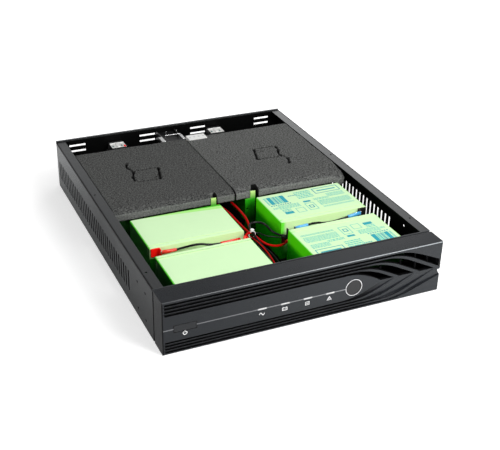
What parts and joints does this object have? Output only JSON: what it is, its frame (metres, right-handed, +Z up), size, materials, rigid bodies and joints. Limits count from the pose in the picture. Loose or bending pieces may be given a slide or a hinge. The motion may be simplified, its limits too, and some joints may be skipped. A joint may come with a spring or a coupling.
{
  "type": "rack ups battery pack",
  "caption": "Low rack battery drawer with its cover off: folded black tray, louvred front bezel, pale green sealed batteries, foam pads, joined leads and a push button.",
  "frame": {"origin": "middle of the underside, on the surface that it stands on", "axes": "+X to the right along the front as seen from the front, +Y from the bezel to the back wall, +Z up"},
  "size_m": [0.44, 0.565, 0.084],
  "materials": {
    "tray_black": "fine matt black powder coat",
    "bezel_charcoal": "moulded charcoal plastic, fine grain",
    "button_charcoal": "moulded charcoal plastic, smooth",
    "strip_grey": "pale translucent plastic",
    "badge_white": "pale printed ring",
    "badge_dark": "bare dark disc",
    "board_green": "circuit board",
    "battery_green": "pale green moulded case",
    "terminal_grey": "dark terminal block",
    "terminal_red": "red terminal block",
    "post_green": "green moulded post",
    "mat_black": "matt rubber mat",
    "foam_grey": "closed-cell foam, cut edges",
    "bright_steel": "bright folded strip",
    "breaker_black": "moulded black case",
    "white_plastic": "white moulded nylon",
    "sleeve_red": "soft red vinyl sleeve",
    "sleeve_blue": "soft blue vinyl sleeve",
    "lead_red": "red insulation",
    "lead_black": "black insulation",
    "tie_white": "white nylon tie"
  },
  "bodies": {
    "case": {"badge_disc": "badge_dark", "badge_ring": "badge_white", "battery_a_left": "battery_green", "battery_a_right": "battery_green", "battery_b_left": "battery_green", "battery_b_right": "battery_green", "battery_c_left": "battery_green", "battery_c_right": "battery_green", "battery_d_left": "battery_green", "battery_d_right": "battery_green", "battery_mat_front_left": "mat_black", "battery_mat_front_right": "mat_black", "battery_mat_rear_left": "mat_black", "battery_mat_rear_right": "mat_black", "black_lead": "lead_black", "breaker": "breaker_black", "breaker_bracket": "bright_steel", "cable_tie": "tie_white", "chassis_tray": "tray_black", "foam_pad_left": "foam_grey", "foam_pad_right": "foam_grey", "front_bezel": "bezel_charcoal", "front_lead_black": "lead_black", "front_lead_red": "lead_red", "junction_block": "white_plastic", "light_board": "board_green", "light_strip_left": "strip_grey", "light_strip_right": "strip_grey", "link_lead_left": "lead_black", "link_lead_right": "lead_black", "rear_connector_left": "white_plastic", "rear_connector_right": "white_plastic", "red_lead_left": "lead_red", "red_lead_right": "lead_red", "sleeve_blue_back": "sleeve_blue", "sleeve_blue_front": "sleeve_blue", "sleeve_red_back": "sleeve_red", "sleeve_red_front": "sleeve_red", "stop_post_left": "post_green", "stop_post_right": "post_green", "terminal_high_a_left": "terminal_red", "terminal_high_a_right": "terminal_grey", "terminal_high_b_left": "terminal_red", "terminal_high_b_right": "terminal_grey", "terminal_high_c_left": "terminal_red", "terminal_high_c_right": "terminal_grey", "terminal_high_d_left": "terminal_red", "terminal_high_d_right": "terminal_grey", "terminal_low_a_left": "terminal_grey", "terminal_low_a_right": "terminal_red", "terminal_low_b_left": "terminal_grey", "terminal_low_b_right": "terminal_red", "terminal_low_c_left": "terminal_grey", "terminal_low_c_right": "terminal_red", "terminal_low_d_left": "terminal_grey", "terminal_low_d_right": "terminal_red"},
    "button": {"power_button": "button_charcoal"}
  },
  "joints": [
    {"name": "button_press", "type": "slide", "parent": "case", "child": "button", "axis": [0, 1, 0], "range_m": [0, 0.001], "stiffness_N_per_m": 800, "springref_m": -0.0005}
  ]
}
